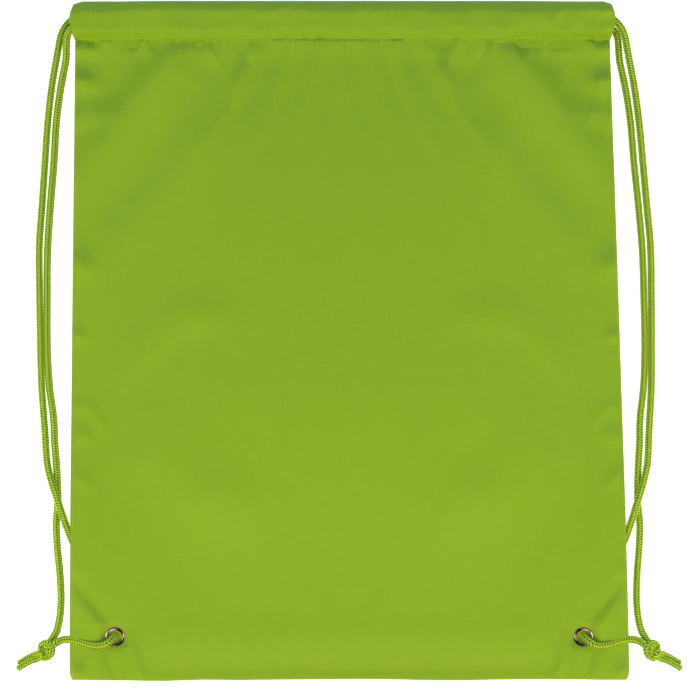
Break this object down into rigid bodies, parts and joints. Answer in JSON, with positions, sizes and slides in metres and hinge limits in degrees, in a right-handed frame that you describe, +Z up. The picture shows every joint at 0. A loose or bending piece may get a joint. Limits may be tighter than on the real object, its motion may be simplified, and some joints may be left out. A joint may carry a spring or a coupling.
{
  "type": "drawstring bag",
  "caption": "Flat cloth bag with a drawcord hem at the mouth and cord shoulder straps knotted through metal corner eyelets.",
  "frame": {"origin": "middle of the bag's underside, where it lies on its back on a surface", "axes": "+Y from the closed bottom to the mouth, +Z up from the surface through the front panel, +X to the right seen from above"},
  "size_m": [0.4119, 0.4201, 0.0173],
  "materials": {
    "cloth": "matte",
    "thread": "matte",
    "cord": "matte",
    "eyelet_metal": "polished"
  },
  "bodies": {
    "bag": {"front_panel": "cloth", "back_panel": "cloth", "left_side_seam": "cloth", "right_side_seam": "cloth", "left_side_stitching": "thread", "right_side_stitching": "thread", "front_hem_stitching": "thread", "back_hem_stitching": "thread", "left_eyelet": "eyelet_metal", "left_eyelet_washer": "eyelet_metal", "right_eyelet": "eyelet_metal", "right_eyelet_washer": "eyelet_metal", "left_cord_straight_strand": "cord", "left_cord_eyelet_strand": "cord", "left_cord_knot": "cord", "left_cord_straight_tail": "cord", "left_cord_eyelet_tail": "cord", "right_cord_straight_strand": "cord", "right_cord_eyelet_strand": "cord", "right_cord_knot": "cord", "right_cord_straight_tail": "cord", "right_cord_eyelet_tail": "cord"},
    "left_hem_end": {"right_cord_channel_loop": "cord", "left_front_hem_tack": "thread", "left_back_hem_tack": "thread"},
    "right_hem_end": {"left_cord_channel_loop": "cord", "right_front_hem_tack": "thread", "right_back_hem_tack": "thread"}
  },
  "joints": [
    {"name": "left_cord_pull", "type": "slide", "parent": "bag", "child": "right_hem_end", "axis": [-1, 0, 0], "range_m": [0, 0.09], "deforming": ["front_panel", "back_panel", "front_hem_stitching", "back_hem_stitching", "right_side_seam", "right_side_stitching", "right_cord_straight_strand", "right_cord_eyelet_strand"]},
    {"name": "right_cord_pull", "type": "slide", "parent": "bag", "child": "left_hem_end", "axis": [1, 0, 0], "range_m": [0, 0.09], "deforming": ["front_panel", "back_panel", "front_hem_stitching", "back_hem_stitching", "left_side_seam", "left_side_stitching", "left_cord_straight_strand", "left_cord_eyelet_strand"]}
  ]
}
